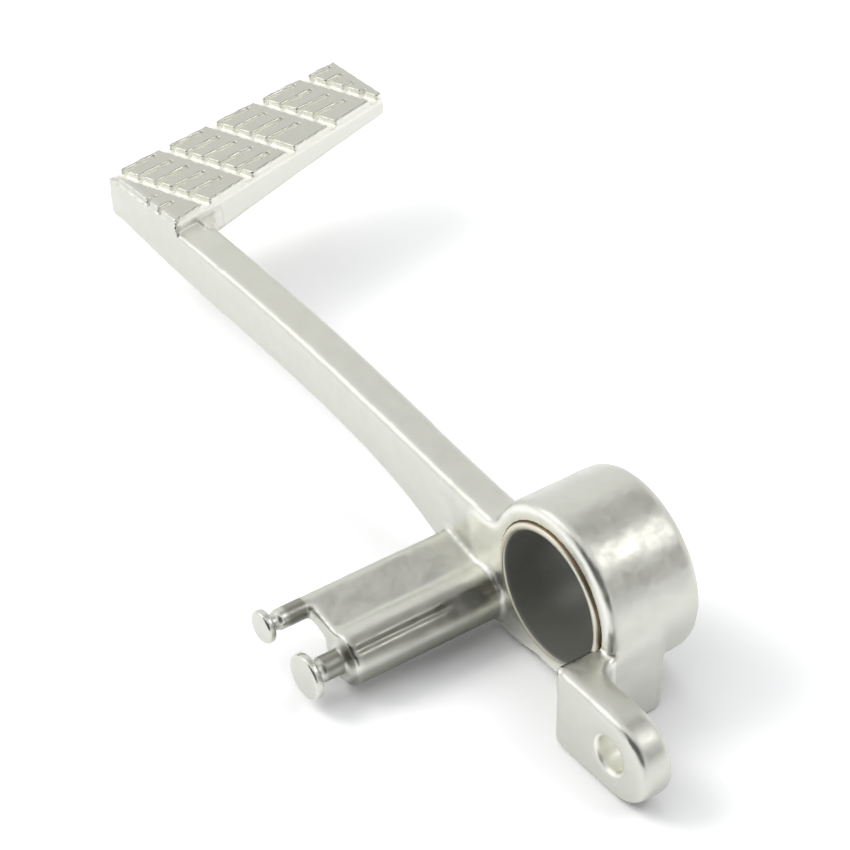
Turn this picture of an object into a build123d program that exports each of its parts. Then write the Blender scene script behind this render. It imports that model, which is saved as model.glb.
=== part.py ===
from build123d import *
from math import atan2, ceil, cos, degrees, radians, sin
import os

os.makedirs("parts", exist_ok=True)

# Rear brake pedal of a motorbike: one steel casting with a plain bush pressed into its hub.
# Millimetres. The pivot axis is Y and the hub's front face lies at Y = 0. The arm runs forward along +X,
# the tread pad reaches out to -Y, the web with the two spring posts reaches in to +Y, and the ear for the
# push rod points back along -X. Z is up.

# Pivot: the bush and its seat in the hub
PIVOT_BORE = 22.0
BUSH_WALL = 1.5
BUSH_LENGTH = 18.0
BUSH_PROUD = 0.6
BUSH_CHAMFER = 0.4
HUB_WALL = 3.1
HUB_LENGTH = 17.5
HUB_END_ROUND = 1.6

# Arm: a flat bar that tapers from the hub to the pad
ARM_REACH = 128.3
ARM_THICKNESS = 7.0
ARM_EDGE_ROUND = 1.4
ARM_ROOT_X = 16.0
ARM_ROOT_TOP = 4.2
ARM_ROOT_DEPTH = 15.4
ARM_ROOT_FILLET = 2.5
ARM_NECK_X = 31.0
ARM_NECK_DEPTH = 9.3
ARM_MID_X = 66.0
ARM_MID_TOP = 6.5
ARM_MID_DEPTH = 3.6
ARM_PAD_TOP = 6.0
ARM_TIP_TOP = 4.6
ARM_TIP_DEPTH = 2.0
ARM_TIP_ROUND = 4.0

# Tread pad: a plate that thins and narrows towards its outer end
PAD_TOP = 8.3
PAD_LENGTH = 49.5
PAD_INNER_WIDTH = 22.0
PAD_OUTER_WIDTH = 16.0
PAD_FRONT_SWEEP = 2.0
PAD_INNER_THICKNESS = 8.2
PAD_MID_THICKNESS = 5.9
PAD_OUTER_THICKNESS = 4.4
PAD_NOSE_DOWN = 5.4
PAD_OUTER_UP = 4.6
PAD_CORNER_ROUND = 1.6
PAD_EDGE_ROUND = 0.9
PAD_ARM_FILLET = 3.0

# Tread: raised blocks between slanting channels, each block with slots that open into its channel
TREAD_HEIGHT = 1.1
TREAD_MARGIN = 0.4
BLOCKS_ALONG_PAD = 4.76
BLOCK_SKEW = 0.32
CHANNEL_WIDTH = 1.9
SLOT_WIDTH = 0.9
SLOT_PITCH = 3.67
SLOT_INSET = 1.5
SLOT_END_WALL = 1.7

# Web and spring posts
WEB_LENGTH = 28.0
WEB_THICKNESS = 3.5
WEB_END_ROUND = 0.6
WEB_SEAT_RISE = 1.9
SMALL_POST_X = 25.9
SMALL_POST_Z = -6.4
SMALL_POST_REACH = 36.4
SMALL_POST_NECK = 3.5
SMALL_POST_GROOVE = 2.9
SMALL_POST_HEAD = 5.6
LARGE_POST_X = 16.2
LARGE_POST_Z = -10.3
LARGE_POST_REACH = 35.0
LARGE_POST_ROOT = 9.4
LARGE_POST_NECK = 4.2
LARGE_POST_GROOVE = 3.6
LARGE_POST_HEAD = 7.8
POST_HEAD_LENGTH = 1.5
POST_GROOVE_LENGTH = 1.6
POST_HEAD_ROUND = 0.4
PARTING_ANGLE = 130.0
PARTING_GROOVE = 0.45

# Ear for the push rod's clevis pin, and the squared root that ties it to the hub
EAR_FRONT = 8.4
EAR_THICKNESS = 6.0
EAR_TOP = -1.4
EAR_ROOT_HEIGHT = 15.2
EAR_END_RADIUS = 7.5
EAR_HOLE = 6.2
EAR_HOLE_X = -25.6
EAR_HOLE_CHAMFER = 0.4
EAR_END_OFFSET = 1.2
EAR_EDGE_ROUND = 1.2
EAR_BORE_CLEARANCE = 1.0
EAR_ROOT_LEDGE = 0.4
EAR_ROOT_RISE = 4.4
EAR_ROOT_DRAFT = 10.0
EAR_ROOT_BACK = -10.85
EAR_ROOT_SHOULDER = -2.0
EAR_ROOT_INNER = -5.0
EAR_ROOT_CORNER = 2.0
EAR_ROOT_FILLET = 3.0

# Sizes that follow from those above
BUSH_RADIUS = PIVOT_BORE / 2 + BUSH_WALL
HUB_RADIUS = BUSH_RADIUS + HUB_WALL
PAD_X = ARM_REACH - PAD_INNER_WIDTH
EAR_BACK = EAR_FRONT - EAR_THICKNESS
EAR_HOLE_Z = EAR_TOP - EAR_END_RADIUS
EAR_INNER_X = -(PIVOT_BORE / 2 + EAR_BORE_CLEARANCE)
EAR_ROOT_X = -(HUB_RADIUS + EAR_ROOT_LEDGE)
EAR_END_X = EAR_HOLE_X - EAR_END_OFFSET

# The tread's own frame: x across the pad towards its front edge, -y along the pad, z out of the tread
TREAD = Pos(PAD_X, 0, PAD_TOP) * Rot(-PAD_OUTER_UP, PAD_NOSE_DOWN, 0)
PAD_BACK_SWEEP = PAD_INNER_WIDTH + PAD_FRONT_SWEEP - PAD_OUTER_WIDTH
PAD_TRIM = PAD_INNER_THICKNESS / 4
BLOCK_PITCH = PAD_LENGTH / BLOCKS_ALONG_PAD
FRONT_ANGLE = degrees(atan2(PAD_FRONT_SWEEP, PAD_LENGTH))


def along_y(sketch, start, end):
    """Extrude a sketch, drawn with X and Z as its x and y, from Y = start to Y = end."""
    return Pos(0, start, 0) * extrude(Plane.XZ * sketch, amount=start - end)


def rod(x, z, radius, start, end):
    """A round bar parallel to the pivot, from Y = start to Y = end."""
    return along_y(Pos(x, z) * Circle(radius), start, end)


def make_plate():
    """Hub disc and arm as one flat bar, with its edges rounded all round on both sides."""
    top = Spline(
        (0, ARM_ROOT_TOP),
        (ARM_ROOT_X, ARM_ROOT_TOP),
        (ARM_MID_X, ARM_MID_TOP),
        (PAD_X, ARM_PAD_TOP),
        (ARM_REACH, ARM_TIP_TOP),
    )
    bottom = Spline(
        (0, -HUB_RADIUS + HUB_WALL / 2),
        (ARM_ROOT_X, -ARM_ROOT_DEPTH),
        (ARM_NECK_X, -ARM_NECK_DEPTH),
        (ARM_MID_X, -ARM_MID_DEPTH),
        (ARM_REACH, -ARM_TIP_DEPTH),
    )
    arm = make_face([top, Line(top @ 1, bottom @ 1), bottom, Line(bottom @ 0, top @ 0)])
    tip_corner = arm.vertices().sort_by_distance((ARM_REACH, -ARM_TIP_DEPTH, 0))[0]
    arm = fillet(tip_corner, ARM_TIP_ROUND)
    outline = Circle(HUB_RADIUS) + arm
    crook = outline.vertices().sort_by_distance((HUB_RADIUS, ARM_ROOT_TOP, 0))[0]
    plate = along_y(fillet(crook, ARM_ROOT_FILLET), 0, -ARM_THICKNESS)
    sides = plate.faces().sort_by(Axis.Y)
    return fillet(sides[0].edges() + sides[-1].edges(), ARM_EDGE_ROUND)


def make_hub():
    """Tube behind the plate, rounded at its rear end."""
    tube = rod(0, 0, HUB_RADIUS, -ARM_EDGE_ROUND, -HUB_LENGTH)
    rear = tube.faces().sort_by(Axis.Y)[0]
    return fillet(rear.edges(), HUB_END_ROUND)


def make_web():
    """Flat web between a thin and a thick round bar, rounded at its free end."""
    thin_end = Vector(SMALL_POST_X, SMALL_POST_Z)
    thick_end = Vector(LARGE_POST_X, LARGE_POST_Z + WEB_SEAT_RISE)
    across = thick_end - thin_end
    middle = (thin_end + thick_end) / 2
    strip = Rot(0, 0, degrees(atan2(across.Y, across.X))) * Rectangle(across.length, WEB_THICKNESS)
    section = (
        Pos(middle.X, middle.Y) * strip
        + Pos(SMALL_POST_X, SMALL_POST_Z) * Circle(WEB_THICKNESS / 2)
        + Pos(LARGE_POST_X, LARGE_POST_Z) * Circle(LARGE_POST_ROOT / 2)
    )
    web = along_y(section, WEB_LENGTH, -ARM_THICKNESS / 2)
    free_end = web.faces().sort_by(Axis.Y)[-1]
    return fillet(free_end.edges(), WEB_END_ROUND)


def make_post(x, z, reach, neck, groove, head):
    """Neck, spring groove and head disc that stand on the web's free end."""
    groove_end = reach - POST_HEAD_LENGTH
    groove_start = groove_end - POST_GROOVE_LENGTH
    disc = rod(x, z, head / 2, reach, groove_end)
    disc = fillet(disc.edges().filter_by(GeomType.CIRCLE), POST_HEAD_ROUND)
    stem = rod(x, z, groove / 2, groove_end + POST_HEAD_LENGTH / 2, groove_start)
    return disc + stem + rod(x, z, neck / 2, groove_start, WEB_LENGTH / 2)


def make_ear():
    """Ear plate with a full-round end, rounded edges and the pin's hole."""
    root = Line((EAR_INNER_X, EAR_TOP), (EAR_INNER_X, EAR_TOP - EAR_ROOT_HEIGHT))
    end = Pos(EAR_END_X, EAR_HOLE_Z) * Circle(EAR_END_RADIUS)
    outline = make_hull(root.edges() + end.edges())
    ear = along_y(outline, EAR_FRONT, EAR_BACK)
    sides = ear.faces().sort_by(Axis.Y)
    ear = fillet(sides[0].edges() + sides[-1].edges(), EAR_EDGE_ROUND)
    ear -= rod(EAR_HOLE_X, EAR_HOLE_Z, EAR_HOLE / 2, EAR_FRONT, EAR_BACK)
    rims = ear.edges().filter_by(lambda edge: edge.geom_type == GeomType.CIRCLE and edge.is_closed)
    return chamfer(rims, EAR_HOLE_CHAMFER)


def make_ear_root():
    """Square corner under the hub that carries the ear; its outer wall leans back onto the hub's tube."""
    inside_ear = EAR_BACK + EAR_THICKNESS / 2
    fillet_x = EAR_ROOT_X - EAR_ROOT_FILLET
    fillet_y = EAR_BACK - EAR_ROOT_FILLET
    plan = make_face(
        Polyline(
            (EAR_INNER_X, inside_ear),
            (fillet_x, inside_ear),
            (fillet_x, fillet_y),
            (EAR_ROOT_X, fillet_y),
            (EAR_ROOT_X, EAR_ROOT_BACK),
            (EAR_ROOT_INNER, EAR_ROOT_BACK),
            (EAR_ROOT_INNER, EAR_ROOT_SHOULDER),
            (EAR_INNER_X, EAR_ROOT_SHOULDER),
            close=True,
        )
    )
    outer_corner = plan.vertices().sort_by_distance((EAR_ROOT_X, EAR_ROOT_BACK, 0))[0]
    plan = fillet(outer_corner, EAR_ROOT_CORNER) - Pos(fillet_x, fillet_y) * Circle(EAR_ROOT_FILLET)
    root = Pos(0, 0, EAR_TOP - EAR_ROOT_HEIGHT) * extrude(plan, amount=EAR_ROOT_HEIGHT)
    rise = make_face(
        Polyline(
            (EAR_ROOT_X, EAR_ROOT_SHOULDER),
            (EAR_ROOT_X, EAR_ROOT_BACK),
            (EAR_ROOT_INNER, EAR_ROOT_BACK),
            (EAR_ROOT_INNER, EAR_ROOT_SHOULDER),
            close=True,
        )
    )
    outer_corner = rise.vertices().sort_by_distance((EAR_ROOT_X, EAR_ROOT_BACK, 0))[0]
    rise = fillet(outer_corner, EAR_ROOT_CORNER)
    return root + Pos(0, 0, EAR_TOP) * extrude(rise, amount=EAR_ROOT_RISE, taper=EAR_ROOT_DRAFT)


def make_parting_groove():
    """Groove that the wax mould's parting line leaves along the large post's root."""
    angle = radians(PARTING_ANGLE)
    x = LARGE_POST_X + LARGE_POST_ROOT / 2 * cos(angle)
    z = LARGE_POST_Z + LARGE_POST_ROOT / 2 * sin(angle)
    return rod(x, z, PARTING_GROOVE, WEB_LENGTH, 0)


def front_edge(y):
    """Where the pad's front edge is, at y along the pad."""
    return PAD_INNER_WIDTH - PAD_FRONT_SWEEP * y / PAD_LENGTH


def back_edge(y):
    """Where the pad's back edge is, at y along the pad."""
    return -PAD_BACK_SWEEP * y / PAD_LENGTH


def pad_outline(start):
    """Plan of the pad in the tread's frame, from y = start to its outer end."""
    return make_face(
        Polyline(
            (back_edge(start), start),
            (front_edge(start), start),
            (front_edge(-PAD_LENGTH), -PAD_LENGTH),
            (back_edge(-PAD_LENGTH), -PAD_LENGTH),
            close=True,
        )
    )


def make_pad_body():
    """Pad below the tread's floor: its plan, cut to a side profile that thins towards the outer end."""
    plan = pad_outline(PAD_TRIM)
    outer_corners = plan.vertices().sort_by(Axis.Y)[:2]
    plan = fillet(outer_corners, PAD_CORNER_ROUND)
    underside = Spline(
        (PAD_TRIM, -PAD_INNER_THICKNESS),
        (-PAD_LENGTH / 2, -PAD_MID_THICKNESS),
        (-PAD_LENGTH, -PAD_OUTER_THICKNESS),
    )
    floor = Line((-PAD_LENGTH, -TREAD_HEIGHT), (PAD_TRIM, -TREAD_HEIGHT))
    profile = make_face([underside, Line(underside @ 1, floor @ 0), floor, Line(floor @ 1, underside @ 0)])
    width = front_edge(-PAD_LENGTH) - back_edge(PAD_TRIM)
    side = Pos(back_edge(PAD_TRIM), 0, 0) * extrude(Plane.YZ * profile, amount=width)
    pad = extrude(plan, amount=-PAD_INNER_THICKNESS) & side
    bottom = pad.faces().sort_by(Axis.Z)[0]
    return fillet(bottom.edges(), PAD_EDGE_ROUND)


def make_gusset():
    """Hollow-cornered prism where the pad's back edge meets the arm's outer side."""
    corner_y = -ARM_THICKNESS
    corner_x = back_edge(corner_y)
    side = PAD_ARM_FILLET + PAD_TRIM
    square = Pos(corner_x + PAD_TRIM, corner_y + PAD_TRIM) * Rectangle(side, side, align=Align.MAX)
    hollow = Pos(corner_x - PAD_ARM_FILLET, corner_y - PAD_ARM_FILLET) * Circle(PAD_ARM_FILLET)
    depth = PAD_MID_THICKNESS - 2 * TREAD_HEIGHT
    return Pos(0, 0, -2 * TREAD_HEIGHT) * extrude(square - hollow, amount=-depth)


def block_end(block, x):
    """The far edge of a tread block, at x across the pad; the first one starts at the pad's corner."""
    return BLOCK_SKEW * (x - PAD_INNER_WIDTH) - block * BLOCK_PITCH


def make_channel(block):
    """Slanting channel beyond the far edge of a block, drawn as wide as the whole pad."""
    front = front_edge(-PAD_LENGTH)
    return make_face(
        Polyline(
            (front, block_end(block, front)),
            (0, block_end(block, 0)),
            (0, block_end(block, 0) - CHANNEL_WIDTH),
            (front, block_end(block, front) - CHANNEL_WIDTH),
            close=True,
        )
    )


def make_slots(block):
    """Slots of one block, side by side from the front edge; each opens into the channel before it."""
    slots = []
    for row in range(int(PAD_INNER_WIDTH / SLOT_PITCH)):
        inset = SLOT_INSET + row * SLOT_PITCH
        x = front_edge(block_end(block, PAD_INNER_WIDTH / 2)) - inset
        near = block_end(block - 1, x) - CHANNEL_WIDTH / 2
        far = max(block_end(block, x), -PAD_LENGTH) + SLOT_END_WALL
        land = front_edge(far) - inset - back_edge(far) - TREAD_MARGIN - SLOT_WIDTH / 2
        if near - far > 2 * SLOT_WIDTH and far < -SLOT_END_WALL and land > SLOT_WIDTH:
            middle = (near + far) / 2
            place = Pos(front_edge(middle) - inset, middle) * Rot(0, 0, 90 + FRONT_ANGLE)
            slots.append(place * SlotOverall(near - far, SLOT_WIDTH))
    return slots


def make_tread():
    """Raised blocks of the tread, standing on the pad's floor."""
    blocks = range(ceil(PAD_LENGTH / BLOCK_PITCH) + 1)
    cuts = [make_channel(block) for block in blocks]
    for block in blocks:
        cuts += make_slots(block)
    lands = offset(pad_outline(0), -TREAD_MARGIN) - cuts
    return Pos(0, 0, -TREAD_HEIGHT) * extrude(lands, amount=TREAD_HEIGHT)


def make_casting():
    """The whole casting, with the bush's seat bored through the hub and clear of the bush's proud edge."""
    pad = TREAD * (make_pad_body() + make_gusset())
    pad = split(pad, bisect_by=Plane.XZ, keep=Keep.TOP)
    casting = make_plate() + pad + make_hub() + make_web() + make_ear() + make_ear_root()
    casting += make_post(
        SMALL_POST_X, SMALL_POST_Z, SMALL_POST_REACH, SMALL_POST_NECK, SMALL_POST_GROOVE, SMALL_POST_HEAD
    )
    casting += make_post(
        LARGE_POST_X, LARGE_POST_Z, LARGE_POST_REACH, LARGE_POST_NECK, LARGE_POST_GROOVE, LARGE_POST_HEAD
    )
    casting += TREAD * make_tread()
    return casting - make_parting_groove() - rod(0, 0, BUSH_RADIUS, 2 * BUSH_PROUD, -HUB_LENGTH)


def make_bush():
    """Plain sleeve with its edges broken, a press fit in the seat."""
    sleeve = rod(0, 0, BUSH_RADIUS, BUSH_PROUD, BUSH_PROUD - BUSH_LENGTH)
    sleeve -= rod(0, 0, PIVOT_BORE / 2, BUSH_PROUD, BUSH_PROUD - BUSH_LENGTH)
    return chamfer(sleeve.edges().filter_by(GeomType.CIRCLE), BUSH_CHAMFER)


casting = make_casting()
bush = make_bush()
for name, solid in (("pedal_casting", casting), ("pivot_bush", bush)):
    box = solid.bounding_box()
    print(name, "volume", round(solid.volume), "size", [round(side, 1) for side in box.size])
    export_step(solid, f"parts/{name}.step")
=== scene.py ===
# %% [markdown]
# Rear brake pedal, dressed for a studio picture.
# The pedal is one investment casting in steel with a plain bush pressed into its hub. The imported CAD
# model gives every size and place, so it is loaded first and nothing in it is moved. Everything is in
# metres.

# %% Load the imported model
from math import cos, radians, sin

import bpy
import numpy as np
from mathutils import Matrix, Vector


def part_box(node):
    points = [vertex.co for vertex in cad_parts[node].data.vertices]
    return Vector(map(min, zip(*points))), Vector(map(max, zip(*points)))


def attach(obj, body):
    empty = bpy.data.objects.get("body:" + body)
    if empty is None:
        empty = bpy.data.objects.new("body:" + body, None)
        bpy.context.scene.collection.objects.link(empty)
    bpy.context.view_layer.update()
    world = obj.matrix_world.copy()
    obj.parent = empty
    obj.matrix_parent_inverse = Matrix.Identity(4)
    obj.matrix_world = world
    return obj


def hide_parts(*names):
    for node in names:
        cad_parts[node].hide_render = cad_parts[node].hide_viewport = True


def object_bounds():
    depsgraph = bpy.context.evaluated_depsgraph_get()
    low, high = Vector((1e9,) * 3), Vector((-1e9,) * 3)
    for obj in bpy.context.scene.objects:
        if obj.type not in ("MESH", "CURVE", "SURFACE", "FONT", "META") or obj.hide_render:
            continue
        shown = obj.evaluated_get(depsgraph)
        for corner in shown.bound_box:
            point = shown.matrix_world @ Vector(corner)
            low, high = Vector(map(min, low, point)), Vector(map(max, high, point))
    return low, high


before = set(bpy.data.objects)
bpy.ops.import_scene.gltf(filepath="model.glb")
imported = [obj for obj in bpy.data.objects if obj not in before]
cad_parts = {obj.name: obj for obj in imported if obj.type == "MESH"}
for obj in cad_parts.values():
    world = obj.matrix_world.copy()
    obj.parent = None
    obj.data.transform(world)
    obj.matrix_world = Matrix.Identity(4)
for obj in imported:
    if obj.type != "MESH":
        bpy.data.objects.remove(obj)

MM = 0.001
cad_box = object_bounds()
print("nodes:", sorted(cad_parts))
print("box in mm:", [[round(side / MM, 1) for side in corner] for corner in cad_box])

# %% [markdown]
# The camera stands where the photograph was taken from: above the hub's open mouth, with the pad far
# behind. A long lens at half a metre gives the weak perspective of a product picture. A camera can be
# turned by its angles, but here the eye and the aim are two points and the rotation follows from them,
# so the picture can be re-aimed by changing one point.

# %% Camera
EYE = Vector((-0.31381, 0.24883, 0.35800))
AIM = Vector((0.02464, 0.00593, 0.02041))
LENS = 148.24
SENSOR_WIDTH = 36.0
NEAREST = 0.01
FARTHEST = 20.0

camera_data = bpy.data.cameras.new("studio_camera")
camera_data.lens = LENS
camera_data.sensor_width = SENSOR_WIDTH
camera_data.sensor_fit = "HORIZONTAL"
camera_data.clip_start = NEAREST
camera_data.clip_end = FARTHEST
camera = bpy.data.objects.new("studio_camera", camera_data)
bpy.context.scene.collection.objects.link(camera)
camera.location = EYE
camera.rotation_euler = (AIM - EYE).to_track_quat("-Z", "Y").to_euler()
bpy.context.scene.camera = camera
print("camera at", [round(v, 3) for v in EYE], "distance", round((AIM - EYE).length, 3))

# %% [markdown]
# A shader is a small graph of nodes. Helpers keep the graphs short to read: one makes a node and sets
# its plain values, one joins an output to an input, one starts a material, and one mixes two colours
# by a mask. A Mix node has sockets for each kind of data under the same names, so they are reached by
# their numbers.

# %% Node helpers
def add_node(tree, kind, values=None, **settings):
    """Make a node of a kind, set its properties, then the default values of its inputs."""
    node = tree.nodes.new(kind)
    for name, value in settings.items():
        setattr(node, name, value)
    for socket, value in (values or {}).items():
        node.inputs[socket].default_value = value
    return node


def join(tree, source, output, target, socket):
    """Link one node's output to another node's input."""
    tree.links.new(source.outputs[output], target.inputs[socket])


print("node helpers:", [f.__name__ for f in (add_node, join)])

# %% Material helpers
MIX_FACTOR = 0
MIX_COLOURS = (6, 7)
MIX_COLOUR_RESULT = 2


def new_material(name, shader="ShaderNodeBsdfPrincipled"):
    """An empty node material with its output and a shader joined to it."""
    material = bpy.data.materials.new(name)
    material.use_nodes = True
    tree = material.node_tree
    tree.nodes.clear()
    output = add_node(tree, "ShaderNodeOutputMaterial")
    surface = add_node(tree, shader)
    join(tree, surface, "BSDF", output, "Surface")
    return material, tree, surface


def mix_colours(tree, mask, *colours):
    """Mix two colours by a mask; each is a colour or the Mix node that gives it."""
    mix = add_node(tree, "ShaderNodeMix", data_type="RGBA")
    join(tree, mask, 0, mix, MIX_FACTOR)
    for socket, colour in zip(MIX_COLOURS, colours):
        if isinstance(colour, tuple):
            mix.inputs[socket].default_value = colour
        else:
            join(tree, colour, MIX_COLOUR_RESULT, mix, socket)
    return mix


print("material helpers:", [f.__name__ for f in (new_material, mix_colours)])

# %% [markdown]
# The sweep under the pedal is a plain white sheet. It is a real surface and not a cut-out, so the pedal
# leaves its own soft shadow on it. Product pictures are exposed so that this sheet is just past white.
# That is done with the Light Path node: what the camera sees directly, or in a mirror or through glass,
# is a whiter sheet and a white room, while the light that falls on the pedal and on the sheet stays at
# its plain level.

# %% What the camera and mirrors see
DULL_BOUNCES_BELOW = 0.5


def seen_by_eye(tree):
    """Mask of rays that come from the camera directly, by mirror or by glass, not off a dull face."""
    path = add_node(tree, "ShaderNodeLightPath")
    direct = add_node(tree, "ShaderNodeMath", operation="MAXIMUM")
    any_way = add_node(tree, "ShaderNodeMath", operation="MAXIMUM")
    undimmed = add_node(tree, "ShaderNodeMath", {1: DULL_BOUNCES_BELOW}, operation="LESS_THAN")
    both = add_node(tree, "ShaderNodeMath", operation="MULTIPLY")
    join(tree, path, "Is Camera Ray", direct, 0)
    join(tree, path, "Is Glossy Ray", direct, 1)
    join(tree, direct, 0, any_way, 0)
    join(tree, path, "Is Transmission Ray", any_way, 1)
    join(tree, path, "Diffuse Depth", undimmed, 0)
    join(tree, any_way, 0, both, 0)
    join(tree, undimmed, 0, both, 1)
    return both


print("mask:", seen_by_eye.__name__)

# %% White sheet
SHEET_SIZE = 6.0
SHEET_COLOUR = (0.95, 0.955, 0.97, 1.0)
SEEN_SHEET_COLOUR = (1.27, 1.28, 1.30, 1.0)

floor_level = cad_box[0][2]
bpy.ops.object.select_all(action="DESELECT")
bpy.ops.mesh.primitive_plane_add(size=SHEET_SIZE, location=(0, 0, floor_level))
sheet = bpy.context.object
sheet.name = "white_sheet"
sheet_material, paper, paper_surface = new_material("white_sheet", "ShaderNodeBsdfDiffuse")
paper_tone = mix_colours(paper, seen_by_eye(paper), SHEET_COLOUR, SEEN_SHEET_COLOUR)
join(paper, paper_tone, MIX_COLOUR_RESULT, paper_surface, "Color")
sheet.data.materials.append(sheet_material)
print("sheet at", round(floor_level / MM, 2), "mm")

# %% Even world light
AMBIENT_COLOUR = (0.97, 0.985, 1.0, 1.0)
AMBIENT_STRENGTH = 0.27
ROOM_COLOUR = (1.0, 1.0, 1.0, 1.0)
ROOM_STRENGTH = 1.0

world = bpy.data.worlds.new("studio_world")
bpy.context.scene.world = world
world.use_nodes = True
sky = world.node_tree
sky.nodes.clear()
sky_output = add_node(sky, "ShaderNodeOutputWorld")
ambient = add_node(sky, "ShaderNodeBackground", {"Color": AMBIENT_COLOUR, "Strength": AMBIENT_STRENGTH})
white_room = add_node(sky, "ShaderNodeBackground", {"Color": ROOM_COLOUR, "Strength": ROOM_STRENGTH})
sky_mix = add_node(sky, "ShaderNodeMixShader")
join(sky, seen_by_eye(sky), 0, sky_mix, 0)
join(sky, ambient, 0, sky_mix, 1)
join(sky, white_room, 0, sky_mix, 2)
join(sky, sky_mix, 0, sky_output, "Surface")
print("world light:", AMBIENT_STRENGTH)

# %% [markdown]
# Bare metal has no colour of its own to show: it shows the room. So the light on the sheet and the
# picture in the metal are set apart. Three large soft boxes, overhead, left and right, light the sheet
# and shape the shadows, and are kept out of reflections. The small one behind the hub also shows in the
# metal, as the bright band on the tube. The rest of what the metal mirrors is cards: light ones, grey
# ones, and a dark one on the camera's side. A card shows only in reflections, so it stays out of every
# picture and throws no shadow.

# %% Soft boxes
SOFT_BOXES = (
    # name, direction, distance and side in metres, watts, colour, shows in reflections
    ("soft_box_overhead", (0.42, 0.22, 0.88), 1.20, 2.20, 12.0, (1.0, 0.995, 0.98), False),
    ("soft_box_behind", (-0.43, -0.45, 0.78), 0.65, 0.17, 0.225, (1.0, 0.985, 0.94), True),
    ("soft_box_left", (0.51, 0.47, 0.72), 1.15, 0.50, 3.8, (1.0, 0.985, 0.94), False),
    ("soft_box_right", (-0.38, -0.50, 0.78), 1.15, 0.60, 2.0, (1.0, 0.99, 0.97), False),
)


def soft_box(name, direction, distance, side, watts, colour, mirrored):
    """A square area lamp that faces the pedal."""
    lamp = bpy.data.lights.new(name, "AREA")
    lamp.shape = "SQUARE"
    lamp.size = side
    lamp.energy = watts
    lamp.color = colour
    box = bpy.data.objects.new(name, lamp)
    bpy.context.scene.collection.objects.link(box)
    away = Vector(direction).normalized()
    box.location = away * distance
    box.rotation_euler = (-away).to_track_quat("-Z", "Y").to_euler()
    box.visible_glossy = mirrored


for row in SOFT_BOXES:
    soft_box(*row)

# %% Cards
CARDS = (
    # name, direction, distance, width and height in metres, level
    ("card_overhead", (0.14, -0.45, 0.88), 0.90, (0.55, 0.70), 0.51),
    ("card_right", (-0.80, -0.45, 0.36), 0.90, (0.60, 0.42), 0.45),
    ("card_back", (0.74, -0.38, 0.56), 1.30, (0.85, 0.70), 1.0),
    ("card_left", (0.58, 0.52, 0.58), 1.10, (0.60, 0.85), 1.95),
    ("card_camera", (-0.51, 0.72, 0.47), 0.95, (1.70, 1.25), 0.11),
)
CARD_BLUE = 0.97
BLACK = (0.0, 0.0, 0.0, 1.0)


def studio_card(name, direction, distance, size, level):
    """A plain panel that faces the pedal and shows only in reflections."""
    away = Vector(direction).normalized()
    bpy.ops.object.select_all(action="DESELECT")
    bpy.ops.mesh.primitive_plane_add(size=1, location=away * distance)
    card = bpy.context.object
    card.name = name
    card.rotation_euler = away.to_track_quat("-Z", "Y").to_euler()
    card.scale = (*size, 1)
    material, _, surface = new_material(name)
    surface.inputs["Base Color"].default_value = BLACK
    surface.inputs["Specular IOR Level"].default_value = 0.0
    surface.inputs["Emission Color"].default_value = (level, level, level * CARD_BLUE, 1)
    surface.inputs["Emission Strength"].default_value = 1.0
    card.data.materials.append(material)
    card.visible_camera = False
    card.visible_diffuse = False
    card.visible_shadow = False


for row in CARDS:
    studio_card(*row)
print("cards:", [row[0] for row in CARDS])

# %% [markdown]
# Every cast or machined face here has the same kinds of unevenness: a fine grain, soft blotches where
# the tumbling drum polished more or less, and a slow waviness. A picture of worn metal would need
# both pieces unwrapped, while noise on object coordinates needs no unwrapping. It is one node group
# with its sizes as inputs, so the casting and the bush can share it with different values.

# %% Node group: metal unevenness
GRAIN_NOISE = {"Detail": 3.0, "Roughness": 0.6}
BLOTCH_NOISE = {"Detail": 4.0, "Roughness": 0.62, "Distortion": 0.5}
WAVE_NOISE = {"Detail": 2.0, "Roughness": 0.5}
WAVE_SHARE = 0.55
BLOTCH_SPAN = {"From Min": 0.34, "From Max": 0.66}


def make_unevenness():
    """Group that turns object coordinates into a blotchy roughness and two heights."""
    group = bpy.data.node_groups.new("metal_unevenness", "ShaderNodeTree")
    face = group.interface
    face.new_socket("Vector", in_out="INPUT", socket_type="NodeSocketVector")
    for name in ("Grain Scale", "Blotch Scale", "Smooth Roughness", "Rough Roughness"):
        face.new_socket(name, in_out="INPUT", socket_type="NodeSocketFloat")
    for name in ("Roughness", "Grain", "Waviness"):
        face.new_socket(name, in_out="OUTPUT", socket_type="NodeSocketFloat")
    start = add_node(group, "NodeGroupInput")
    end = add_node(group, "NodeGroupOutput")
    grain = add_node(group, "ShaderNodeTexNoise", GRAIN_NOISE)
    blotch = add_node(group, "ShaderNodeTexNoise", BLOTCH_NOISE)
    slow = add_node(group, "ShaderNodeMath", {1: WAVE_SHARE}, operation="MULTIPLY")
    wave = add_node(group, "ShaderNodeTexNoise", WAVE_NOISE)
    sharpen = add_node(group, "ShaderNodeMapRange", BLOTCH_SPAN)
    rough = add_node(group, "ShaderNodeMapRange")
    for texture in (grain, blotch, wave):
        join(group, start, "Vector", texture, "Vector")
    join(group, start, "Grain Scale", grain, "Scale")
    join(group, start, "Blotch Scale", blotch, "Scale")
    join(group, start, "Blotch Scale", slow, 0)
    join(group, slow, 0, wave, "Scale")
    join(group, blotch, "Fac", sharpen, "Value")
    join(group, sharpen, "Result", rough, "Value")
    join(group, start, "Smooth Roughness", rough, "To Min")
    join(group, start, "Rough Roughness", rough, "To Max")
    join(group, rough, "Result", end, "Roughness")
    join(group, grain, "Fac", end, "Grain")
    join(group, wave, "Fac", end, "Waviness")
    return group


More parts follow.
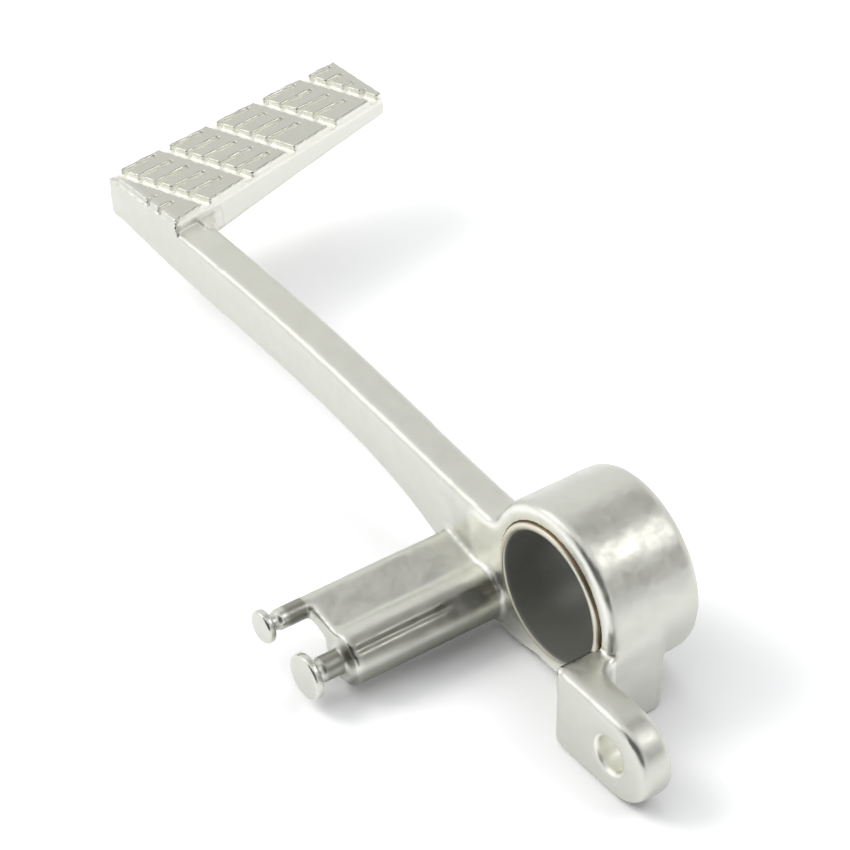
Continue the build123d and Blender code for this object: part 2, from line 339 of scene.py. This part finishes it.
unevenness = make_unevenness()
print("group:", unevenness.name, [socket.name for socket in unevenness.interface.items_tree])

# %% [markdown]
# Turned and bored faces are told from cast ones by their distance from an axis. Both materials ask for
# that, so it is a second group. All the axes here run along Y, so the group needs only a place on the
# axis.

# %% Node group: distance from an axis
ACROSS_Y = (1.0, 0.0, 1.0)


def make_axis_distance():
    """Group that gives a point's distance from an axis that runs along Y through a given place."""
    group = bpy.data.node_groups.new("axis_distance", "ShaderNodeTree")
    group.interface.new_socket("Vector", in_out="INPUT", socket_type="NodeSocketVector")
    group.interface.new_socket("Axis Place", in_out="INPUT", socket_type="NodeSocketVector")
    group.interface.new_socket("Distance", in_out="OUTPUT", socket_type="NodeSocketFloat")
    start = add_node(group, "NodeGroupInput")
    end = add_node(group, "NodeGroupOutput")
    offset = add_node(group, "ShaderNodeVectorMath", operation="SUBTRACT")
    across = add_node(group, "ShaderNodeVectorMath", {1: ACROSS_Y}, operation="MULTIPLY")
    length = add_node(group, "ShaderNodeVectorMath", operation="LENGTH")
    join(group, start, "Vector", offset, 0)
    join(group, start, "Axis Place", offset, 1)
    join(group, offset, 0, across, 0)
    join(group, across, 0, length, 0)
    join(group, length, "Value", end, "Distance")
    return group


axis_distance = make_axis_distance()
print("group:", axis_distance.name, [socket.name for socket in axis_distance.interface.items_tree])

# %% [markdown]
# Operators and modifiers work on what is selected, as they do by hand. Two helpers see to that:
# one leaves a single object selected, and the other adds a modifier to an object and applies it.

# %% Object helpers
def only(obj):
    """Deselect everything, then select one object and make it active."""
    bpy.ops.object.select_all(action="DESELECT")
    obj.hide_set(False)
    obj.select_set(True)
    bpy.context.view_layer.objects.active = obj


def finish_modifier(obj, kind, name, **settings):
    """Add a modifier, set it and apply it."""
    only(obj)
    modifier = obj.modifiers.new(name, kind)
    for key, value in settings.items():
        setattr(modifier, key, value)
    bpy.ops.object.modifier_apply(modifier=modifier.name)


print("object helpers:", [f.__name__ for f in (only, finish_modifier)])

# %% [markdown]
# The casting comes out of a wax mould, so no edge on it is sharp: corners are a few tenths of a
# millimetre round, and inner corners are filled. Bevelling a CAD mesh edge by edge fails on its long
# thin triangles. Instead a copy of the mesh is merged, rebuilt from small voxels, and smoothed a
# little, which rounds every edge by the same small amount, as the ceramic shell does.

# %% Casting skin
MERGE_DISTANCE = 0.002 * MM
VOXEL = 0.27 * MM
SMOOTH_STEP = 0.5
SHELL_PASSES = 3

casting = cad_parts["pedal_casting"]
skin = bpy.data.objects.new("pedal_skin", casting.data.copy())
bpy.context.scene.collection.objects.link(skin)
skin.data.materials.clear()
only(skin)
bpy.ops.object.mode_set(mode="EDIT")
bpy.ops.mesh.select_all(action="SELECT")
bpy.ops.mesh.remove_doubles(threshold=MERGE_DISTANCE)
bpy.ops.object.mode_set(mode="OBJECT")
print("merged copy:", len(skin.data.vertices), "vertices")
finish_modifier(skin, "REMESH", "shell", mode="VOXEL", voxel_size=VOXEL, adaptivity=0.0)
finish_modifier(skin, "SMOOTH", "soft_edges", factor=SMOOTH_STEP, iterations=SHELL_PASSES)
print("skin:", len(skin.data.vertices), "vertices before thinning")

# %% [markdown]
# The tumbling drum rubbed the arm, the hub, the ear and the web rounder than the tread. A bevel needs
# clean edges, which a voxel skin doesn't have, so this is smoothing again: a vertex group marks what
# the drum reached, and more passes work on that group alone. The thin web has less weight, and its end
# more again. The bore's mouth is left out, because it was cut afterwards. The sizes below are in
# millimetres.

# %% Rounder edges where the drum rubbed
RUBBED_PASSES = 60
PAD_FROM_X = 92.0
TUBE_TO_X = 40.0
ARM_FROM_Y = -3.0
WEB_FROM_Y = 9.5
WEB_END_FROM_Y = 26.6
WEB_TO_Y = 28.4
BORE_MOUTH_RADIUS = 13.4
WEB_WEIGHT = 0.27
WEB_END_WEIGHT = 0.70


def vertex_places(mesh):
    """The places of a mesh's vertices as an array with one row for each."""
    places = np.empty(len(mesh.vertices) * 3, dtype=np.float32)
    mesh.vertices.foreach_get("co", places)
    return places.reshape(-1, 3)


x, y, z = vertex_places(skin.data).T / MM
near_arm = (x < PAD_FROM_X) & (y > ARM_FROM_Y) & (y < WEB_TO_Y)
far_tube = (x < TUBE_TO_X) & (y <= ARM_FROM_Y)
rubbed = (near_arm | far_tube) & (np.hypot(x, z) > BORE_MOUTH_RADIUS)
on_web = rubbed & (y > WEB_FROM_Y)
on_web_end = rubbed & (y > WEB_END_FROM_Y)
rubbed_group = skin.vertex_groups.new(name="rubbed")
for reached, weight in ((rubbed, 1.0), (on_web, WEB_WEIGHT), (on_web_end, WEB_END_WEIGHT)):
    rubbed_group.add(np.flatnonzero(reached).tolist(), weight, "REPLACE")
finish_modifier(
    skin,
    "SMOOTH",
    "rubbed_edges",
    factor=SMOOTH_STEP,
    iterations=RUBBED_PASSES,
    vertex_group=rubbed_group.name,
)
print("rubbed:", int(rubbed.sum()), "vertices")

# %% [markdown]
# Hollows are painted darker, as painted shade, and convex edges are rubbed smoother. How the surface
# folds at a vertex shows in the directions to its neighbours: they rise above the vertex in a hollow and
# fall below it on an edge. The mean of that rise, spread a little to the neighbours, is stored as an
# attribute for the material. The Geometry node's Pointiness is a like measure that needs no code, but it
# is taken from the finished mesh. The folds are measured earlier, while the vertices are still evenly
# spaced, and the flat faces are thinned out afterwards.

# %% Fold attribute
FOLD_SPREAD = 3
SHORTEST_EDGE = 1e-9
SHOWN_PERCENTILES = (0, 1, 5, 25, 50, 75, 95, 99, 100)


def mean_of_neighbours(values, ends, count):
    """For each vertex, the mean of the values that its edges carry to it."""
    total = np.bincount(ends[:, 0], values[0], count) + np.bincount(ends[:, 1], values[1], count)
    edges_each = np.bincount(ends.ravel(), minlength=count)
    return total / np.maximum(edges_each, 1)


def mark_folds(mesh):
    """Store how hollow (above 0) or convex (below 0) the mesh is at each vertex."""
    count = len(mesh.vertices)
    places = vertex_places(mesh)
    normals = np.empty(count * 3, dtype=np.float32)
    mesh.vertex_normals.foreach_get("vector", normals)
    normals = normals.reshape(-1, 3)
    ends = np.empty(len(mesh.edges) * 2, dtype=np.int32)
    mesh.edges.foreach_get("vertices", ends)
    ends = ends.reshape(-1, 2)
    along = places[ends[:, 1]] - places[ends[:, 0]]
    along /= np.maximum(np.linalg.norm(along, axis=1, keepdims=True), SHORTEST_EDGE)
    rise_first = np.einsum("ij,ij->i", normals[ends[:, 0]], along)
    rise_second = -np.einsum("ij,ij->i", normals[ends[:, 1]], along)
    fold = mean_of_neighbours((rise_first, rise_second), ends, count)
    for _ in range(FOLD_SPREAD):
        fold = (fold + mean_of_neighbours((fold[ends[:, 1]], fold[ends[:, 0]]), ends, count)) / 2
    mesh.attributes.new("folds", "FLOAT", "POINT").data.foreach_set("value", fold.astype(np.float32))
    return fold


fold = mark_folds(skin.data)
print("folds:", [round(float(v), 3) for v in np.percentile(fold, SHOWN_PERCENTILES)])

# %% Thinned flat faces
FLAT_ANGLE = radians(0.3)

finish_modifier(skin, "DECIMATE", "thin_flat_faces", decimate_type="DISSOLVE", angle_limit=FLAT_ANGLE)
only(skin)
bpy.ops.object.shade_smooth()
skin.data.calc_loop_triangles()
print("skin:", len(skin.data.loop_triangles), "triangles")

# %% [markdown]
# Cast steel after tumbling is a satin mirror: fully metallic, warm light grey, with a roughness that
# wanders. Other finishes lie beside it. The tread's block tops are painted a little darker, as painted
# shade. The rest of the pad, and the pin's hole, were only blasted: there the steel is rougher and
# paler. The channels and the hole are painted palest, as painted light that lifts the shade in these
# recesses. The hub's front and the plate around it were turned flat and bright. Along the large post's
# parting crease, under its root and on the posts' necks the steel is painted dark, as painted shade of
# the shadowed floor that these places mirror. Such masks could be painted on the mesh. Here each one is
# worked out from places on the part, which stays sharp however the mesh is thinned: a Mapping node turns
# to the tread's own frame, and the group above gives distances from the axes.

# %% Mask helpers
def ramp(tree, source, output, start, end):
    """0 where a value is at start, 1 where it is at end, both in millimetres, and clamped outside."""
    node = add_node(tree, "ShaderNodeMapRange", {"From Min": start * MM, "From Max": end * MM})
    join(tree, source, output, node, "Value")
    return node


def combine(tree, operation, first, *others):
    """Chain masks with one Math operation: MULTIPLY for both, MAXIMUM for either."""
    for other in others:
        node = add_node(tree, "ShaderNodeMath", operation=operation)
        join(tree, first, 0, node, 0)
        join(tree, other, 0, node, 1)
        first = node
    return first


def from_axis(tree, place, axis):
    """Distance from an axis along Y."""
    node = add_node(tree, "ShaderNodeGroup", {"Axis Place": axis}, node_tree=axis_distance)
    join(tree, place, "Object", node, "Vector")
    return node


def parts_of(tree, source, output):
    """A vector's X, Y and Z."""
    node = add_node(tree, "ShaderNodeSeparateXYZ")
    join(tree, source, output, node, "Vector")
    return node


print("mask helpers:", [f.__name__ for f in (ramp, combine, from_axis, parts_of)])

# %% Masks of the tread and the pin's hole
TREAD_PLACE = (106.3 * MM, 0.0, 8.3 * MM)
TREAD_TURN = (radians(-4.6), radians(5.4), 0.0)
PIN_AXIS = (-25.6 * MM, 0.0, -8.9 * MM)
PAD_STARTS_X = (98, 106)
PAD_STARTS_Y = (-0.6, -1.6)
BLOCK_TOPS_Z = (-0.30, -0.05)
BELOW_TOPS_Z = (-0.15, -0.45)
CHANNELS_Z = (-1.9, -1.4)
PIN_HOLE_RADIUS = (3.7, 3.4)


def tread_masks(tree, place):
    """Masks of the block tops painted darker as painted shade, the blasted steel, and the channels and
    pin's hole painted lighter as painted light.
    """
    part = parts_of(tree, place, "Object")
    tread_frame = {"Location": TREAD_PLACE, "Rotation": TREAD_TURN}
    turned_place = add_node(tree, "ShaderNodeMapping", tread_frame, vector_type="TEXTURE")
    join(tree, place, "Object", turned_place, "Vector")
    tread = parts_of(tree, turned_place, "Vector")

    past_arm = ramp(tree, part, "X", *PAD_STARTS_X)
    behind_arm_face = ramp(tree, part, "Y", *PAD_STARTS_Y)
    on_pad = combine(tree, "MULTIPLY", past_arm, behind_arm_face)
    # The tread's block tops are painted a little darker than the steel: painted shade.
    block_top_shade = combine(tree, "MULTIPLY", ramp(tree, tread, "Z", *BLOCK_TOPS_Z), on_pad)
    pad = combine(tree, "MULTIPLY", ramp(tree, tread, "Z", *BELOW_TOPS_Z), on_pad)
    channels = combine(tree, "MULTIPLY", ramp(tree, tread, "Z", *CHANNELS_Z), pad)
    pin_hole = ramp(tree, from_axis(tree, place, PIN_AXIS), "Distance", *PIN_HOLE_RADIUS)
    blasted = combine(tree, "MAXIMUM", pad, pin_hole)
    # The channels and the pin's hole are painted palest: painted light that lifts the shade inside these
    # recesses.
    recess_light = combine(tree, "MAXIMUM", channels, pin_hole)
    return block_top_shade, blasted, recess_light


print("tread's frame in mm:", [round(v / MM, 1) for v in TREAD_PLACE])

# %% Masks of the hub's front and the posts
HUB_AXIS = (0.0, 0.0, 0.0)
HUB_FRONT_RADIUS = (22.0, 20.0)
HUB_FRONT_Y = ((-0.5, -0.2), (1.0, 0.6))
ROOT_AXIS = (16.2 * MM, 0.0, -10.3 * MM)
ROOT_SHADED_SIDE = (cos(radians(215)), 0.0, sin(radians(215)))
ROOT_RADIUS = (6.0, 5.2)
ROOT_Y = ((-0.2, 1.0), (28.6, 28.2))
CREASE_DEPTH = ((-2.3, -0.6), (2.6, 0.8))
UNDERSIDE_DEPTH = (3.0, 3.8)
NECKS_Y = ((28.2, 28.7), (32.4, 31.6))


def between(tree, source, output, spans):
    """1 from the end of the first ramp to the end of the second."""
    rise, fall = [ramp(tree, source, output, *span) for span in spans]
    return combine(tree, "MULTIPLY", rise, fall)


def hub_and_post_masks(tree, place):
    """Masks of the turned steel at the hub's front and of the painted shade on the large post's root and
    the posts' necks.
    """
    part = parts_of(tree, place, "Object")
    near_hub = ramp(tree, from_axis(tree, place, HUB_AXIS), "Distance", *HUB_FRONT_RADIUS)
    turned = combine(tree, "MULTIPLY", near_hub, between(tree, part, "Y", HUB_FRONT_Y))

    # The crease band, the underside of the large post's root and the posts' necks are painted dark:
    # painted shade of the shadowed floor that they mirror.
    offset = add_node(tree, "ShaderNodeVectorMath", {1: ROOT_AXIS}, operation="SUBTRACT")
    join(tree, place, "Object", offset, 0)
    depth = add_node(tree, "ShaderNodeVectorMath", {1: ROOT_SHADED_SIDE}, operation="DOT_PRODUCT")
    join(tree, offset, 0, depth, 0)
    along_crease = between(tree, depth, "Value", CREASE_DEPTH)
    underside = ramp(tree, depth, "Value", *UNDERSIDE_DEPTH)
    dark_bands = combine(tree, "MAXIMUM", along_crease, underside)
    near_root = ramp(tree, from_axis(tree, place, ROOT_AXIS), "Distance", *ROOT_RADIUS)
    root = combine(tree, "MULTIPLY", dark_bands, near_root, between(tree, part, "Y", ROOT_Y))
    necks = between(tree, part, "Y", NECKS_Y)
    post_shade = combine(tree, "MAXIMUM", root, necks)
    return turned, post_shade


print("large post's axis in mm:", [round(v / MM, 1) for v in ROOT_AXIS])

# %% Colours of the finishes
STEEL_COLOUR = (0.640, 0.643, 0.592, 1.0)
# Painted shade on the tread's block tops.
BLOCK_TOP_SHADE_COLOUR = (0.570, 0.572, 0.522, 1.0)
BLASTED_COLOUR = (0.77, 0.77, 0.713, 1.0)
# Painted light in the tread's channels and the pin's hole.
RECESS_LIGHT_COLOUR = (0.94, 0.94, 0.87, 1.0)
TURNED_COLOUR = (0.83, 0.83, 0.77, 1.0)
# Painted shade on the large post's root and the posts' necks.
POST_SHADE_COLOUR = (0.315, 0.317, 0.278, 1.0)
# Painted shade in the hollows.
HOLLOW_SHADE_COLOUR = (0.40, 0.395, 0.34, 1.0)


def steel_colour(tree, place, hollow, block_top_shade, blasted, recess_light):
    """The steel's colour: its finishes and painted shade and light one over the other, then painted
    shade in the hollows, except in the recesses painted light.
    """
    turned, post_shade = hub_and_post_masks(tree, place)
    # Painted shade in the hollows, left out of the recesses that are painted light.
    hollow_shade = add_node(tree, "ShaderNodeMath", operation="SUBTRACT", use_clamp=True)
    join(tree, hollow, 0, hollow_shade, 0)
    join(tree, recess_light, 0, hollow_shade, 1)
    steel = mix_colours(tree, block_top_shade, STEEL_COLOUR, BLOCK_TOP_SHADE_COLOUR)
    steel = mix_colours(tree, blasted, steel, BLASTED_COLOUR)
    steel = mix_colours(tree, recess_light, steel, RECESS_LIGHT_COLOUR)
    steel = mix_colours(tree, turned, steel, TURNED_COLOUR)
    steel = mix_colours(tree, post_shade, steel, POST_SHADE_COLOUR)
    return mix_colours(tree, hollow_shade, steel, HOLLOW_SHADE_COLOUR)


print("the satin steel's colour:", STEEL_COLOUR[:3])

# %% Material: cast steel
MIX_VALUES = (2, 3)
BLASTED_ROUGHNESS = 0.48
EDGE_ROUGHNESS = 0.20
HOLLOW_FOLDS = {"From Min": 0.11, "From Max": 0.33}
EDGE_FOLDS = {"From Min": -0.03, "From Max": -0.12}
STEEL_UNEVENNESS = {
    "Grain Scale": 2600.0,
    "Blotch Scale": 330.0,
    "Smooth Roughness": 0.28,
    "Rough Roughness": 0.42,
}
STEEL_WAVE = {"Strength": 0.6, "Distance": 0.45 * MM}
STEEL_GRAIN = {"Strength": 0.25, "Distance": 0.03 * MM}


def mix_values(tree, mask, source, output, value):
    """A value that a node gives where the mask is 0, and a set value where it is 1."""
    given, fixed = MIX_VALUES
    mix = add_node(tree, "ShaderNodeMix", {fixed: value}, data_type="FLOAT")
    join(tree, mask, 0, mix, MIX_FACTOR)
    join(tree, source, output, mix, given)
    return mix


def uneven_metal(tree, place, values):
    """The unevenness group with a material's own values."""
    uneven = add_node(tree, "ShaderNodeGroup", values, node_tree=unevenness)
    join(tree, place, "Object", uneven, "Vector")
    return uneven


def make_cast_steel():
    """Satin cast steel with its other finishes, smoother edges, painted shade in its hollows and painted
    shade and light elsewhere.
    """
    material, tree, surface = new_material("cast_steel_satin")
    surface.inputs["Metallic"].default_value = 1.0
    place = add_node(tree, "ShaderNodeTexCoord")
    uneven = uneven_metal(tree, place, STEEL_UNEVENNESS)
    folds = add_node(tree, "ShaderNodeAttribute", attribute_name="folds")
    hollow = add_node(tree, "ShaderNodeMapRange", HOLLOW_FOLDS)
    edge = add_node(tree, "ShaderNodeMapRange", EDGE_FOLDS)
    join(tree, folds, "Fac", hollow, "Value")
    join(tree, folds, "Fac", edge, "Value")

    block_top_shade, blasted, recess_light = tread_masks(tree, place)
    colour = steel_colour(tree, place, hollow, block_top_shade, blasted, recess_light)
    join(tree, colour, MIX_COLOUR_RESULT, surface, "Base Color")

    rubbed_rough = mix_values(tree, edge, uneven, "Roughness", EDGE_ROUGHNESS)
    rough = mix_values(tree, blasted, rubbed_rough, 0, BLASTED_ROUGHNESS)
    join(tree, rough, 0, surface, "Roughness")

    wave = add_node(tree, "ShaderNodeBump", STEEL_WAVE)
    grain = add_node(tree, "ShaderNodeBump", STEEL_GRAIN)
    join(tree, uneven, "Waviness", wave, "Height")
    join(tree, uneven, "Grain", grain, "Height")
    join(tree, wave, "Normal", grain, "Normal")
    join(tree, grain, "Normal", surface, "Normal")
    return material


skin.data.materials.append(make_cast_steel())
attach(skin, "root")
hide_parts("pedal_casting")
print("material:", skin.data.materials[0].name)

# %% [markdown]
# The bush is a rolled sleeve with a dark sliding layer on its inside. It could be cut from a solid with
# a boolean, but an open cylinder is cleaner: the wall gets its thickness from a Solidify modifier and
# its broken edges from a Bevel modifier, and each can be changed by one number.

# %% Pivot bush
BUSH_SIDES = 160
BUSH_WALL = 1.5 * MM
BUSH_EDGE = 0.70 * MM
BUSH_EDGE_STEPS = 5
BUSH_SMOOTH_ANGLE = radians(40)

low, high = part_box("pivot_bush")
bush_length = high.y - low.y
bush_radius = (high.x - low.x) / 2
bpy.ops.object.select_all(action="DESELECT")
bpy.ops.mesh.primitive_cylinder_add(
    vertices=BUSH_SIDES,
    radius=bush_radius,
    depth=bush_length,
    end_fill_type="NOTHING",
    location=(0, (low.y + high.y) / 2, 0),
    rotation=(radians(90), 0, 0),
)
bush = bpy.context.object
bush.name = "bush_sleeve"
bpy.ops.object.transform_apply(location=True, rotation=True, scale=True)
finish_modifier(bush, "SOLIDIFY", "wall", thickness=BUSH_WALL, offset=-1.0)
finish_modifier(
    bush,
    "BEVEL",
    "broken_edges",
    width=BUSH_EDGE,
    segments=BUSH_EDGE_STEPS,
    limit_method="ANGLE",
)
only(bush)
bpy.ops.object.shade_smooth_by_angle(angle=BUSH_SMOOTH_ANGLE)
print("bush:", [round(side / MM, 2) for side in bush.dimensions], len(bush.data.polygons), "faces")

# %% [markdown]
# On the sleeve's inside the sliding layer is dull and nearly black. Its ends show bare bronze-tinted
# steel, and the seam around it, where it meets the hub, is dark. It could be three materials on chosen
# faces, but which is which depends only on how far a point lies from the pivot axis, so the masks are
# that distance.

# %% Material: bush
LINER_COLOUR = (0.160, 0.161, 0.143, 1.0)
SLEEVE_COLOUR = (0.70, 0.67, 0.58, 1.0)
SEAM_COLOUR = (0.20, 0.15, 0.09, 1.0)
BARE_RADIUS = (11.15, 11.30)
SEAM_RADIUS = (12.28, 12.42)
BUSH_UNEVENNESS = {
    "Grain Scale": 3200.0,
    "Blotch Scale": 160.0,
    "Smooth Roughness": 0.30,
    "Rough Roughness": 0.42,
}
BUSH_GRAIN = {"Strength": 0.2, "Distance": 0.03 * MM}


def make_bush_metal():
    """Bare sleeve with a dark sliding layer on its inner wall and a dark seam around it."""
    material, tree, surface = new_material("bush_metal_lined")
    place = add_node(tree, "ShaderNodeTexCoord")
    radius = from_axis(tree, place, HUB_AXIS)
    bare = ramp(tree, radius, "Distance", *BARE_RADIUS)
    seam = ramp(tree, radius, "Distance", *SEAM_RADIUS)
    uneven = uneven_metal(tree, place, BUSH_UNEVENNESS)

    sleeve = mix_colours(tree, bare, LINER_COLOUR, SLEEVE_COLOUR)
    tone = mix_colours(tree, seam, sleeve, SEAM_COLOUR)
    join(tree, tone, MIX_COLOUR_RESULT, surface, "Base Color")
    join(tree, bare, "Result", surface, "Metallic")
    join(tree, uneven, "Roughness", surface, "Roughness")
    grain = add_node(tree, "ShaderNodeBump", BUSH_GRAIN)
    join(tree, uneven, "Grain", grain, "Height")
    join(tree, grain, "Normal", surface, "Normal")
    return material


bush.data.materials.append(make_bush_metal())
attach(bush, "root")
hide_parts("pivot_bush")
print("material:", bush.data.materials[0].name)

# %% [markdown]
# Blender's usual view softens bright tones, and the white sheet would come out grey. The Standard view
# shows colours as they are written.

# %% View transform
bpy.context.scene.view_settings.view_transform = "Standard"
